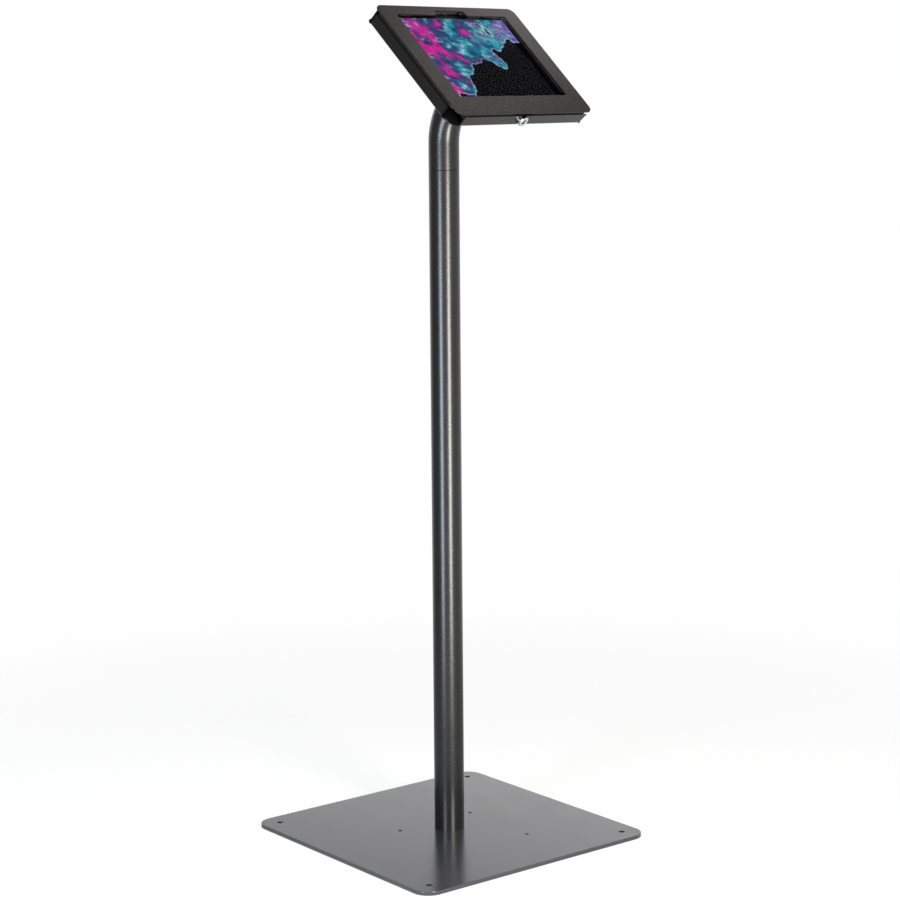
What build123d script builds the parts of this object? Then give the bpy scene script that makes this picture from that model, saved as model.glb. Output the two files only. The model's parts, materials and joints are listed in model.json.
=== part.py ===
from build123d import *
import os
from math import cos, radians, sin

# A floor stand that locks a tablet in a tilted steel enclosure. Millimetres, +Z up.
# The origin is on the floor under the middle of the square base, and the screen faces -Y.

# Named sizes

cut_overrun = 2.0

# Base plate and what stands under it
base_side = 457.0
base_thickness = 6.0
base_corner_radius = 28.0
base_edge_radius = 0.8
anchor_inset = 30.0
anchor_hole_radius = 5.0
inner_spacing = 146.0
inner_hole_radius = 3.5
inner_forward = 36.0
pad_radius = 15.0
pad_thickness = 1.5
pad_inset = 63.0

# Post, its foot plug and the bolts that hold it down
tube_radius = 24.15
tube_wall = 3.0
post_length = 1065.5
plug_fit = 0.1
plug_thickness = 20.0
foot_bolt_count = 3
foot_bolt_circle_radius = 12.5
foot_bolt_radius = 4.0
foot_bolt_head_radius = 8.0
foot_bolt_reach = 16.0
foot_bolt_socket_radius = 2.9
foot_bolt_socket_depth = 2.6
screw_fit = 0.1
cable_hole_radius = 10.0
cable_hole_height = 110.0
cable_plug_lip = 2.5
cable_plug_lip_thickness = 1.2
cable_plug_dome = 0.8

# Bent neck and the sleeve that joins it to the post
neck_lower_length = 41.0
neck_bend_radius = 100.0
neck_upper_length = 43.5
sleeve_below_seam = 75.0
sleeve_above_seam = 38.0
sleeve_wall = 4.0
sleeve_screw_radius = 3.0
sleeve_screw_socket_radius = 1.7
sleeve_screw_socket_depth = 3.0
sleeve_screw_recess = 0.5
sleeve_screw_near = 22.0
sleeve_screw_far = 52.0
seam_chamfer = 0.5
neck_screw_gap = 0.3
sleeve_hole_play = 0.4

# Tilt of the screen away from upright, how far the neck stands turned on the post from square to
# the base, and how far the head turns on the neck
face_tilt = 45.0
neck_turn = 11.6
turn_range = 90.0

# Swivel between neck and tray
flange_radius = 45.0
flange_thickness = 6.0
flange_edge_radius = 1.0
weld_leg = 4.5
friction_washer_radius = 28.0
friction_washer_thickness = 1.0
swivel_plate_side = 100.0
swivel_plate_thickness = 3.0
swivel_plate_corner_radius = 8.0
swivel_screw_spacing = 75.0
swivel_screw_radius = 2.5
swivel_screw_head_radius = 4.6
swivel_screw_head_height = 2.6
swivel_screw_tail = 1.0
swivel_socket_radius = 1.6
swivel_socket_depth = 1.4
pivot_shoulder_radius = 7.0
pivot_thread_radius = 5.0
pivot_thread_tail = 2.0
pivot_head_radius = 12.0
pivot_head_height = 4.6
pivot_socket_radius = 3.6
pivot_socket_depth = 2.8
pivot_play = 0.08
front_washer_radius = 15.0
spring_rim_thickness = 0.8
spring_dish = 0.5
stop_pin_radius = 3.0
stop_circle_radius = 34.0
stop_play = 0.3
stop_pin_shortfall = 0.5
stop_pin_angle = 225.0

# Tablet
tablet_width = 292.0
tablet_height = 201.0
tablet_thickness = 8.5
tablet_corner_radius = 8.0
tablet_back_radius = 2.2
glass_thickness = 0.8
glass_margin = 0.4
display_thickness = 0.5
screen_side_border = 16.0
screen_end_border = 13.8
camera_radius = 1.6

# Buttons on the tablet's top edge
button_width = 2.6
button_rise = 0.6
button_sink = 2.0
button_play = 0.3
button_travel = 0.5
power_button_length = 12.0
volume_rocker_length = 22.0
power_button_from_corner = 14.0
button_gap = 12.0

# Soft pieces round the tablet
rest_pad_thickness = 10.5
rest_pad_length = 150.0
rest_pad_width = 18.0
rest_pad_spread = 70.0
side_space = 15.5
top_space = 1.5
bottom_space = 19.5
side_spacer_length = 120.0
bottom_spacer_length = 90.0
bottom_spacer_from_lock = 34.0
top_spacer_length = 14.0
top_spacer_width = 5.0
top_spacer_from_rocker = 4.0
spacer_lip_gap = 0.5

# Cover plate
cover_thickness = 2.0
cover_corner_radius = 13.0
cover_edge_radius = 0.5
window_corner_radius = 1.0
notch_top_width = 66.0
notch_mouth_width = 74.0
notch_height = 9.5
lip_thickness = 1.2
lip_depth = 9.0
lip_foot = 9.0
lip_gap = 0.5
lip_end_gap = 2.0
foam_thickness = 4.7
foam_gap = 0.3
foam_width = 7.0
foam_from_window = 4.0
foam_end_gap = 12.0
foam_top_length = 24.0
foam_top_from_hinge = 22.0

# Tray
tray_sheet = 1.5
tray_bend_radius = 1.5
tray_bend_root = 1.0
tray_inset = 2.0
tray_to_cover = 6.5
tray_corner_radius = 9.5
tray_cable_corner_radius = 23.0
tray_flare = 4.0
tray_hole_play = 0.25
tray_slot_length = 30.0
tray_slot_width = 14.0
tray_slot_from_middle = 110.0
tray_slot_below_middle = 60.0

# Hinge along the top of the cover
knuckle_radius = 2.2
knuckle_gap = 0.3
knuckle_end_gap = 0.3
hinge_pin_radius = 1.0
hinge_pin_play = 0.05
hinge_length = 40.0
hinge_from_spacer = 3.0
hinge_leaf_thickness = 1.0
hinge_cover_leaf_width = 12.0
hinge_tray_leaf_depth = 12.5
cover_opening = 90.0

# Cam lock in the tray's bottom wall
lock_head_radius = 9.0
lock_head_height = 5.5
lock_head_bevel = 0.8
lock_body_radius = 6.0
lock_body_length = 8.8
lock_washer_radius = 7.3
lock_washer_thickness = 0.8
lock_nut_across_flats = 14.0
lock_nut_thickness = 3.2
lock_plug_radius = 4.6
lock_plug_fit = 0.08
lock_plug_recess = 0.4
lock_key_slot_length = 6.4
lock_key_slot_width = 1.5
lock_key_slot_depth = 4.0
lock_drive_side = 5.0
cam_thickness = 1.5
cam_gap = 0.1
cam_hub_radius = 5.0
cam_width = 6.0
cam_reach = 9.5
cam_screw_radius = 3.5
cam_screw_height = 2.0
cam_screw_thread_radius = 1.5
lock_turn = 90.0

# Keeper under the cover that the cam catches
keeper_sheet = 1.2
keeper_side_gap = 0.5
keeper_width = 13.5
keeper_nut_gap = 1.0
keeper_hook_play = 1.5
keeper_hook_length = 8.0
keeper_foot = 12.0

# Places that follow from the sizes above

# Depths in the head are measured along the screen's normal, with zero at the cover's front face.
cover_back = -cover_thickness
glass_front = cover_back - foam_thickness - foam_gap
glass_back = glass_front - glass_thickness
display_back = glass_back - display_thickness
tablet_back = glass_front - tablet_thickness
floor_front = tablet_back - rest_pad_thickness
floor_back = floor_front - tray_sheet
wall_front = cover_back - tray_to_cover
swivel_back = floor_back - swivel_plate_thickness
flange_front = swivel_back - friction_washer_thickness
flange_back = flange_front - flange_thickness

# Widths and heights of the nested enclosure, from the tablet outwards.
tray_inner_width = tablet_width + 2 * side_space
tray_inner_height = tablet_height + top_space + bottom_space
tray_width = tray_inner_width + 2 * tray_sheet
tray_height = tray_inner_height + 2 * tray_sheet
cover_width = tray_width + 2 * tray_inset
cover_height = tray_height + 2 * tray_inset
tablet_middle = tray_inner_height / 2 - top_space - tablet_height / 2
screen_width = tablet_width - 2 * screen_side_border
screen_height = tablet_height - 2 * screen_end_border
screen_top = tablet_middle + screen_height / 2
anchor_spacing = base_side - 2 * anchor_inset
screen_bottom = tablet_middle - screen_height / 2
tablet_top = tablet_middle + tablet_height / 2
tablet_bottom = tablet_middle - tablet_height / 2

# Height of the stand's joints, and the neck's centre line in the YZ plane.
base_top = pad_thickness + base_thickness
seam_height = base_top + post_length
bend_start = seam_height + neck_lower_length
bend_angle = 90.0 - face_tilt
face_normal = (0, -cos(radians(face_tilt)), sin(radians(face_tilt)))
face_up = (0, sin(radians(face_tilt)), cos(radians(face_tilt)))
bend_end_y = -neck_bend_radius * (1 - cos(radians(bend_angle)))
bend_end_z = bend_start + neck_bend_radius * sin(radians(bend_angle))
neck_to_face = neck_upper_length - flange_back
face_y = bend_end_y + neck_to_face * face_normal[1]
face_z = bend_end_z + neck_to_face * face_normal[2]

# The head is drawn lying flat, X to the right, Y up the screen and Z out of it, then carried here.
neck_place = Rot(0, 0, neck_turn)
head_place = neck_place * Location(Plane(origin=(0, face_y, face_z), x_dir=(1, 0, 0), z_dir=face_normal))

hinge_height = tray_inner_height / 2 - hinge_leaf_thickness + knuckle_radius
hinge_depth = cover_back - knuckle_gap - knuckle_radius
lock_depth = (wall_front + floor_back + tray_bend_radius + tray_sheet) / 2
button_depth = (display_back + tablet_back) / 2

# Along the tablet's top edge, from its left corner to the middle: buttons, spacer, hinge.
power_button_x = -tablet_width / 2 + power_button_from_corner + power_button_length / 2
volume_rocker_x = power_button_x + (power_button_length + volume_rocker_length) / 2 + button_gap
top_spacer_far = -(volume_rocker_x + volume_rocker_length / 2 + top_spacer_from_rocker)
top_spacer_near = top_spacer_far - top_spacer_length
hinge_from_middle = top_spacer_near - hinge_from_spacer - hinge_length / 2


# Helpers

def sheet(outline, back, front):
    """Flat piece of the head between two depths."""
    return Pos(0, 0, back) * extrude(outline, amount=front - back)


def disc(radius, back, front, x=0, y=0):
    """Round bar or hole along Z between two depths."""
    return Pos(x, y, (back + front) / 2) * Cylinder(radius, front - back)


def block(x_range, y_range, z_range):
    """Rectangular block from its limits along each axis."""
    sizes = [high - low for low, high in (x_range, y_range, z_range)]
    middle = [(low + high) / 2 for low, high in (x_range, y_range, z_range)]
    return Pos(*middle) * Box(*sizes)


def hexagon(apothem, back, front):
    """Hexagonal bar along Z with flats facing up and down."""
    corner_radius = apothem / cos(radians(30))
    return sheet(RegularPolygon(corner_radius, 6), back, front)


def square_places(spacing):
    """Middle of each corner of a square pattern."""
    return [(x * spacing / 2, y * spacing / 2) for x in (-1, 1) for y in (-1, 1)]


def group(pieces):
    """Separate solids that share one node."""
    return Compound(children=pieces)


nodes = {}


# Stand

def make_base_plate():
    plate = extrude(RectangleRounded(base_side, base_side, base_corner_radius), amount=base_thickness)
    plate = Pos(0, 0, pad_thickness) * plate
    rim = plate.faces().sort_by(Axis.Z)[-1].edges()
    plate = fillet(rim, base_edge_radius)
    low = pad_thickness - cut_overrun
    high = base_top + cut_overrun
    for x, y in square_places(anchor_spacing):
        plate -= disc(anchor_hole_radius, low, high, x, y)
    for x, y in square_places(inner_spacing):
        plate -= disc(inner_hole_radius, low, high, x, y - inner_forward)
    for place in foot_bolt_places():
        plate -= place * foot_bolt_shape(screw_fit, with_socket=False)
    return plate


def make_foot_pads():
    spacing = base_side - 2 * pad_inset
    return group([disc(pad_radius, 0, pad_thickness, x, y) for x, y in square_places(spacing)])


def foot_bolt_places():
    step = 360 / foot_bolt_count
    return [Rot(0, 0, 90 + step * n) * Pos(foot_bolt_circle_radius, 0, 0) for n in range(foot_bolt_count)]


def foot_bolt_shape(play, with_socket=True):
    """Countersunk bolt set up from under the base, or its hole when play is added."""
    head_height = foot_bolt_head_radius - foot_bolt_radius
    top = base_top + foot_bolt_reach
    shank = disc(foot_bolt_radius + play, pad_thickness, top + play)
    cone = Cone(foot_bolt_head_radius + play, foot_bolt_radius + play, head_height)
    bolt = shank + Pos(0, 0, pad_thickness + head_height / 2) * cone
    if with_socket:
        bolt -= hexagon(foot_bolt_socket_radius, 0, pad_thickness + foot_bolt_socket_depth)
    return bolt


def make_post_bolts():
    return group([place * foot_bolt_shape(0) for place in foot_bolt_places()])


def make_post_foot_plug():
    plug = disc(tube_radius - tube_wall - plug_fit, base_top, base_top + plug_thickness)
    for place in foot_bolt_places():
        plug -= place * foot_bolt_shape(screw_fit, with_socket=False)
    return plug


def rear_bore(radius, height):
    """Hole through the rear wall of the post, square to it."""
    start = tube_radius - tube_wall - cut_overrun
    length = tube_wall + 2 * cut_overrun
    return Pos(0, start + length / 2, height) * Rot(90, 0, 0) * Cylinder(radius, length)


def post_screw_heights():
    return [seam_height - sleeve_screw_far, seam_height - sleeve_screw_near]


def make_post_tube():
    tube = disc(tube_radius, base_top, seam_height)
    tube -= disc(tube_radius - tube_wall, base_top - cut_overrun, seam_height + cut_overrun)
    tube -= rear_bore(cable_hole_radius, base_top + cable_hole_height)
    for height in post_screw_heights():
        tube -= rear_bore(sleeve_screw_radius + sleeve_hole_play, height)
    rims = tube.edges().filter_by(GeomType.CIRCLE).sort_by(Axis.Z)[-2:]
    return chamfer(rims.sort_by(SortBy.RADIUS)[-1], seam_chamfer)


def make_post_cable_plug():
    """Rubber blanking plug in the hole where a power lead leaves the post."""
    height = base_top + cable_hole_height
    neck_radius = cable_hole_radius - plug_fit
    inner = tube_radius - tube_wall - cable_plug_lip_thickness
    outer = tube_radius + cable_plug_lip_thickness
    neck = Pos(0, (inner + outer) / 2, height) * Rot(90, 0, 0) * Cylinder(neck_radius, outer - inner)
    lip_radius = cable_hole_radius + cable_plug_lip
    lip = Pos(0, outer, height) * Rot(90, 0, 0) * Cylinder(lip_radius, 2 * cable_plug_lip_thickness)
    shell = disc(tube_radius + plug_fit + cable_plug_lip_thickness, height - lip_radius, height + lip_radius)
    shell -= disc(tube_radius + plug_fit, height - lip_radius, height + lip_radius)
    dome = Pos(0, outer, height) * Rot(-90, 0, 0) * Cone(neck_radius, neck_radius / 2, 2 * cable_plug_dome)
    plug = neck + (lip & shell) + dome
    return plug


def make_neck_coupler():
    outer = tube_radius - tube_wall - plug_fit
    low = seam_height - sleeve_below_seam
    high = seam_height + sleeve_above_seam
    sleeve = disc(outer, low, high) - disc(outer - sleeve_wall, low - cut_overrun, high + cut_overrun)
    for height in post_screw_heights():
        length = sleeve_wall + 2 * cut_overrun
        middle = outer - sleeve_wall / 2
        hole = Cylinder(sleeve_screw_radius + screw_fit, length)
        sleeve -= Pos(0, middle, height) * Rot(90, 0, 0) * hole
    return sleeve


def set_screw(inner, height):
    """Headless screw in the rear of the tube, from an inner reach to just under the surface."""
    outer = tube_radius - sleeve_screw_recess
    screw = Cylinder(sleeve_screw_radius, outer - inner)
    top = (outer - inner) / 2
    socket_depth = min(sleeve_screw_socket_depth, top)
    screw -= hexagon(sleeve_screw_socket_radius, top - socket_depth, top + cut_overrun)
    return Pos(0, (inner + outer) / 2, height) * Rot(-90, 0, 0) * screw


def make_coupler_screws():
    inner = tube_radius - tube_wall - plug_fit - sleeve_wall
    return group([set_screw(inner, height) for height in post_screw_heights()])


def neck_screw_height():
    return seam_height + sleeve_screw_near


def make_neck_set_screw():
    """Screw in the neck's own wall that presses on the sleeve, so the neck can be turned first."""
    inner = tube_radius - tube_wall - plug_fit + neck_screw_gap
    return neck_place * set_screw(inner, neck_screw_height())


def make_neck_tube():
    """Tube that runs up from the post, bends forward and ends square to the back of the head."""
    start = (0, 0, seam_height)
    bend_in = (0, 0, bend_start)
    bend_out = (0, bend_end_y, bend_end_z)
    end = (0, bend_end_y + neck_upper_length * face_normal[1], bend_end_z + neck_upper_length * face_normal[2])
    path = Line(start, bend_in) + TangentArc(bend_in, bend_out, tangent=(0, 0, 1)) + Line(bend_out, end)
    section = Circle(tube_radius) - Circle(tube_radius - tube_wall)
    neck = sweep(Pos(*start) * section, path=path)
    rims = neck.edges().filter_by(GeomType.CIRCLE).sort_by(Axis.Z)[:2]
    neck = chamfer(rims.sort_by(SortBy.RADIUS)[-1], seam_chamfer)
    neck -= rear_bore(sleeve_screw_radius + screw_fit, neck_screw_height())
    return neck_place * neck


nodes["base_plate"] = make_base_plate()
nodes["foot_pads"] = make_foot_pads()
nodes["post_bolts"] = make_post_bolts()
nodes["post_foot_plug"] = make_post_foot_plug()
nodes["post_tube"] = make_post_tube()
nodes["post_cable_plug"] = make_post_cable_plug()
nodes["neck_coupler"] = make_neck_coupler()
nodes["coupler_screws"] = make_coupler_screws()
nodes["neck_set_screw"] = make_neck_set_screw()
nodes["neck_tube"] = make_neck_tube()


# Swivel

def stop_pin_place():
    angle = radians(stop_pin_angle)
    return stop_circle_radius * cos(angle), stop_circle_radius * sin(angle)


def make_neck_flange():
    flange = disc(flange_radius, flange_back, flange_front)
    rim = flange.edges().filter_by(GeomType.CIRCLE).sort_by(Axis.Z)[0]
    flange = fillet(rim, flange_edge_radius)
    weld_outline = Polyline((tube_radius, 0), (tube_radius + weld_leg, 0), (tube_radius, -weld_leg), close=True)
    weld = revolve(Plane.XZ * make_face(weld_outline), Axis.Z)
    flange += Pos(0, 0, flange_back) * weld
    flange -= disc(pivot_thread_radius + screw_fit, flange_back - weld_leg, flange_front + cut_overrun)
    flange -= disc(stop_pin_radius, flange_back - weld_leg, flange_front + cut_overrun, *stop_pin_place())
    return flange


def make_stop_pin():
    return disc(stop_pin_radius, flange_back, floor_back - stop_pin_shortfall, *stop_pin_place())


def make_rear_friction_washer():
    washer = disc(friction_washer_radius, flange_front, swivel_back)
    bore = disc(pivot_shoulder_radius + pivot_play, flange_front - cut_overrun, swivel_back + cut_overrun)
    return washer - bore


def make_swivel_plate():
    """Square plate with a quarter-circle slot, in which the stop pin limits the turn."""
    outline = RectangleRounded(swivel_plate_side, swivel_plate_side, swivel_plate_corner_radius)
    outline -= Circle(pivot_shoulder_radius + pivot_play)
    for x, y in square_places(swivel_screw_spacing):
        outline -= Pos(x, y) * Circle(swivel_screw_radius + screw_fit)
    slot_start = stop_pin_angle - turn_range
    slot_line = CenterArc((0, 0), stop_circle_radius, slot_start, turn_range)
    outline -= SlotArc(slot_line, 2 * (stop_pin_radius + stop_play))
    return sheet(outline, swivel_back, floor_back)


def make_pivot_bolt():
    """Shoulder bolt that the head turns on, screwed into the neck's flange from inside the tray."""
    head_back = floor_front + friction_washer_thickness + spring_rim_thickness + spring_dish
    head_front = head_back + pivot_head_height
    bolt = disc(pivot_shoulder_radius, flange_front, head_back)
    bolt += disc(pivot_thread_radius, flange_back - pivot_thread_tail, flange_front)
    head = disc(pivot_head_radius, head_back, head_front)
    rim = head.edges().filter_by(GeomType.CIRCLE).sort_by(Axis.Z)[-1]
    bolt += fillet(rim, pivot_head_height / 2)
    bolt -= hexagon(pivot_socket_radius, head_front - pivot_socket_depth, head_front + cut_overrun)
    return bolt


def make_front_friction_washer():
    front = floor_front + friction_washer_thickness
    washer = disc(front_washer_radius, floor_front, front)
    return washer - disc(pivot_shoulder_radius + pivot_play, floor_front - cut_overrun, front + cut_overrun)


def make_disc_spring():
    """Dished spring washer that keeps the swivel's friction steady."""
    back = floor_front + friction_washer_thickness
    bore = pivot_shoulder_radius + plug_fit
    rim = pivot_head_radius
    outline = Polyline(
        (rim, back),
        (rim, back + spring_rim_thickness),
        (bore, back + spring_rim_thickness + spring_dish),
        (bore, back + spring_dish),
        close=True,
    )
    return revolve(Plane.XZ * make_face(outline), Axis.Z)


def make_swivel_screws():
    screws = []
    head_front = floor_front + swivel_screw_head_height
    for x, y in square_places(swivel_screw_spacing):
        head = disc(swivel_screw_head_radius, floor_front, head_front)
        rim = head.edges().filter_by(GeomType.CIRCLE).sort_by(Axis.Z)[-1]
        screw = fillet(rim, swivel_screw_head_height / 2)
        screw += disc(swivel_screw_radius, swivel_back - swivel_screw_tail, floor_front)
        screw -= hexagon(swivel_socket_radius, head_front - swivel_socket_depth, head_front + cut_overrun)
        screws.append(head_place * Pos(x, y, 0) * screw)
    return group(screws)


nodes["neck_flange"] = head_place * make_neck_flange()
nodes["stop_pin"] = head_place * make_stop_pin()
nodes["rear_friction_washer"] = head_place * make_rear_friction_washer()
nodes["swivel_plate"] = head_place * make_swivel_plate()
nodes["pivot_bolt"] = head_place * make_pivot_bolt()
nodes["front_friction_washer"] = head_place * make_front_friction_washer()
nodes["disc_spring"] = head_place * make_disc_spring()
nodes["swivel_screws"] = make_swivel_screws()


# Sheet-metal tray

# Each wall stands on one straight side of the floor. Its start and end are measured along that side,
# and its frame has X pointing into the tray, Y towards the viewer and Z along the wall.
left_low = -tray_height / 2 + tray_cable_corner_radius
side_high = tray_height / 2 - tray_corner_radius
bottom_left = -tray_width / 2 + tray_cable_corner_radius
level_right = tray_width / 2 - tray_corner_radius


def wall_frames():
    """Frame and length of the left, right, top and bottom walls."""
    half_width = tray_width / 2
    half_height = tray_height / 2
    left = Plane(origin=(-half_width, side_high, floor_back), x_dir=(1, 0, 0), z_dir=(0, -1, 0))
    right = Plane(origin=(half_width, -side_high, floor_back), x_dir=(-1, 0, 0), z_dir=(0, 1, 0))
    top = Plane(origin=(level_right, half_height, floor_back), x_dir=(0, -1, 0), z_dir=(-1, 0, 0))
    bottom = Plane(origin=(bottom_left, -half_height, floor_back), x_dir=(0, 1, 0), z_dir=(1, 0, 0))
    return {
        "left": (left, side_high - left_low),
        "right": (right, 2 * side_high),
        "top": (top, 2 * level_right),
        "bottom": (bottom, level_right - bottom_left),
    }


def wall_profile():
    """Section of a bent wall: a strip of floor, the bend and the upright."""
    root = tray_bend_radius + tray_sheet + tray_bend_root
    height = wall_front - floor_back
    points = [(0, 0), (root, 0), (root, tray_sheet), (tray_sheet, tray_sheet), (tray_sheet, height), (0, height)]
    section = make_face(Polyline(*points, close=True))
    corners = section.vertices()
    outside = corners.sort_by_distance((0, 0, 0))[0]
    section = fillet(outside, tray_bend_radius + tray_sheet)
    inside = section.vertices().sort_by_distance((tray_sheet, tray_sheet, 0))[0]
    return fillet(inside, tray_bend_radius)


def tray_floor_outline():
    outline = Rectangle(tray_width, tray_height)
    cable_corner = (-tray_width / 2, -tray_height / 2, 0)
    others = outline.vertices().sort_by_distance(cable_corner)[1:]
    outline = fillet(others, tray_corner_radius)
    return fillet(outline.vertices().sort_by_distance(cable_corner)[0], tray_cable_corner_radius)


def cable_slot(play):
    """Outline of the cable slot in the tray's floor."""
    slot = SlotOverall(tray_slot_length + 2 * play, tray_slot_width + 2 * play)
    return Pos(-tray_slot_from_middle, -tray_slot_below_middle) * slot


def make_tray():
    outline = tray_floor_outline()
    root = tray_bend_radius + tray_sheet + tray_bend_root
    tray = sheet(outline, floor_back, floor_front)
    height = floor_front - floor_back
    for plane, length in wall_frames().values():
        strip = Pos(root / 2, height / 2, length / 2) * Box(root, height + cut_overrun, length)
        tray -= Location(plane) * strip
    section = wall_profile()
    for name, (plane, length) in wall_frames().items():
        wall = extrude(section, amount=length + (tray_flare if name == "bottom" else 0))
        if name == "bottom":
            wall -= flare_cut(length)
        tray += Location(plane) * wall
    tray -= disc(pivot_shoulder_radius + tray_hole_play, floor_back - cut_overrun, floor_front + cut_overrun)
    for x, y in square_places(swivel_screw_spacing):
        hole_radius = swivel_screw_radius + tray_hole_play
        tray -= disc(hole_radius, floor_back - cut_overrun, floor_front + cut_overrun, x, y)
    tray -= sheet(cable_slot(0), floor_back - cut_overrun, floor_front + cut_overrun)
    tray -= lock_frame * disc(lock_body_radius + screw_fit, -tray_sheet - cut_overrun, cut_overrun)
    return tray


def flare_cut(length):
    """Wedge that leaves the free end of the bottom wall wider at the front than at the bend."""
    height = wall_front - floor_back
    bend_top = tray_bend_radius + tray_sheet
    wedge = Polyline(
        (length, -cut_overrun),
        (length, bend_top),
        (length + tray_flare, height),
        (length + tray_flare + cut_overrun, height),
        (length + tray_flare + cut_overrun, -cut_overrun),
        close=True,
    )
    depth = tray_bend_radius + tray_sheet + tray_bend_root + 2 * cut_overrun
    side = Plane(origin=(depth - cut_overrun, 0, 0), x_dir=(0, 0, 1), z_dir=(-1, 0, 0))
    return extrude(side * make_face(wedge), amount=depth)


# The lock's frame sits on the outside of the bottom wall: Z out of the wall, Y towards the viewer.
lock_plane = Plane(origin=(0, -tray_height / 2, lock_depth), x_dir=(1, 0, 0), z_dir=(0, -1, 0))
lock_frame = Location(lock_plane)

nodes["tray"] = head_place * make_tray()


def make_tray_cable_plug():
    """Rubber blank in the cable slot, with a lip on both sides of the floor."""
    neck = sheet(cable_slot(-plug_fit), floor_back, floor_front)
    rear_lip = sheet(cable_slot(cable_plug_lip), floor_back - cable_plug_lip_thickness, floor_back)
    front_lip = sheet(cable_slot(cable_plug_lip), floor_front, floor_front + cable_plug_lip_thickness)
    return neck + rear_lip + front_lip


nodes["tray_cable_plug"] = head_place * make_tray_cable_plug()


# Tablet

def tablet_outline(margin):
    width = tablet_width - 2 * margin
    height = tablet_height - 2 * margin
    return Pos(0, tablet_middle) * RectangleRounded(width, height, tablet_corner_radius - margin)


def screen_outline():
    return Pos(0, tablet_middle) * Rectangle(screen_width, screen_height)


camera_height = screen_top + screen_end_border / 2


def button_frame(x):
    """Frame on the tablet's top edge with Z pointing out of the edge."""
    return Location(Plane(origin=(x, tablet_top, button_depth), x_dir=(1, 0, 0), z_dir=(0, 1, 0)))


def make_button(length):
    outline = SlotOverall(length, button_width)
    button = Pos(0, 0, -button_sink) * extrude(outline, amount=button_sink + button_rise)
    rim = button.faces().sort_by(Axis.Z)[-1].edges()
    return fillet(rim, button_rise / 2)


def button_pocket(length):
    outline = SlotOverall(length + 2 * button_play, button_width + 2 * button_play)
    depth = button_sink + button_travel + button_play
    return Pos(0, 0, -depth) * extrude(outline, amount=depth + cut_overrun)


def make_tablet_back_shell():
    shell = sheet(tablet_outline(0), tablet_back, display_back)
    rim = shell.faces().sort_by(Axis.Z)[0].edges()
    shell = fillet(rim, tablet_back_radius)
    rail = sheet(tablet_outline(0) - tablet_outline(2 * glass_margin), display_back, glass_back)
    shell += rail
    shell -= button_frame(power_button_x) * button_pocket(power_button_length)
    shell -= button_frame(volume_rocker_x) * button_pocket(volume_rocker_length)
    return shell


def make_screen_border():
    outline = tablet_outline(2 * glass_margin) - screen_outline()
    outline -= Pos(0, camera_height) * Circle(camera_radius)
    return sheet(outline, display_back, glass_back)


nodes["tablet_back_shell"] = head_place * make_tablet_back_shell()
nodes["screen_border"] = head_place * make_screen_border()
nodes["display_panel"] = head_place * sheet(screen_outline(), display_back, glass_back)
nodes["camera_lens"] = head_place * disc(camera_radius, display_back, glass_back, 0, camera_height)
nodes["tablet_glass"] = head_place * sheet(tablet_outline(glass_margin), glass_back, glass_front)
nodes["power_button"] = head_place * button_frame(power_button_x) * make_button(power_button_length)
nodes["volume_rocker"] = head_place * button_frame(volume_rocker_x) * make_button(volume_rocker_length)


# Soft pieces that hold the tablet

def make_rest_pads():
    pads = []
    half = rest_pad_length / 2
    for side in (-1, 1):
        middle = tablet_middle + side * rest_pad_spread
        rows = (middle - rest_pad_width / 2, middle + rest_pad_width / 2)
        pads.append(head_place * block((-half, half), rows, (floor_front, tablet_back)))
    return group(pads)


def spacer_front():
    """Spacers stop short of the cover's lips."""
    return cover_back - lip_depth - spacer_lip_gap


def spacer_back():
    """Spacers start above the bend of the wall that carries them."""
    return floor_front + tray_bend_radius


def make_side_spacers():
    inner = tablet_width / 2
    outer = tray_inner_width / 2
    rows = (tablet_middle - side_spacer_length / 2, tablet_middle + side_spacer_length / 2)
    depths = (spacer_back(), spacer_front())
    right = block((inner, outer), rows, depths)
    left = block((-outer, -inner), rows, depths)
    return group([head_place * right, head_place * left])


def make_bottom_spacers():
    rows = (-tray_inner_height / 2, tablet_bottom)
    depths = (spacer_back(), spacer_front())
    near = bottom_spacer_from_lock
    far = near + bottom_spacer_length
    pair = [block((near, far), rows, depths), block((-far, -near), rows, depths)]
    return group([head_place * spacer for spacer in pair])


def make_top_spacers():
    rows = (tablet_top, tray_inner_height / 2)
    middle = button_depth
    depths = (middle - top_spacer_width / 2, middle + top_spacer_width / 2)
    right = block((top_spacer_near, top_spacer_far), rows, depths)
    left = block((-top_spacer_far, -top_spacer_near), rows, depths)
    return group([head_place * right, head_place * left])


nodes["tablet_rest_pads"] = make_rest_pads()
nodes["tablet_side_spacers"] = make_side_spacers()
nodes["tablet_bottom_spacers"] = make_bottom_spacers()
nodes["tablet_top_spacers"] = make_top_spacers()


# Cover

def window_outline():
    """Screen opening with the sloped notch that leaves the camera clear."""
    opening = Pos(0, tablet_middle) * RectangleRounded(screen_width, screen_height, window_corner_radius)
    low = screen_top - window_corner_radius
    points = [
        (-notch_mouth_width / 2, low),
        (-notch_mouth_width / 2, screen_top),
        (-notch_top_width / 2, screen_top + notch_height),
        (notch_top_width / 2, screen_top + notch_height),
        (notch_mouth_width / 2, screen_top),
        (notch_mouth_width / 2, low),
    ]
    return opening + make_face(Polyline(*points, close=True))


def make_cover_plate():
    outline = RectangleRounded(cover_width, cover_height, cover_corner_radius)
    plate = sheet(outline - window_outline(), cover_back, 0)
    rims = plate.faces().sort_by(Axis.Z)[-1].edges()
    return fillet(rims, cover_edge_radius)


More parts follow.
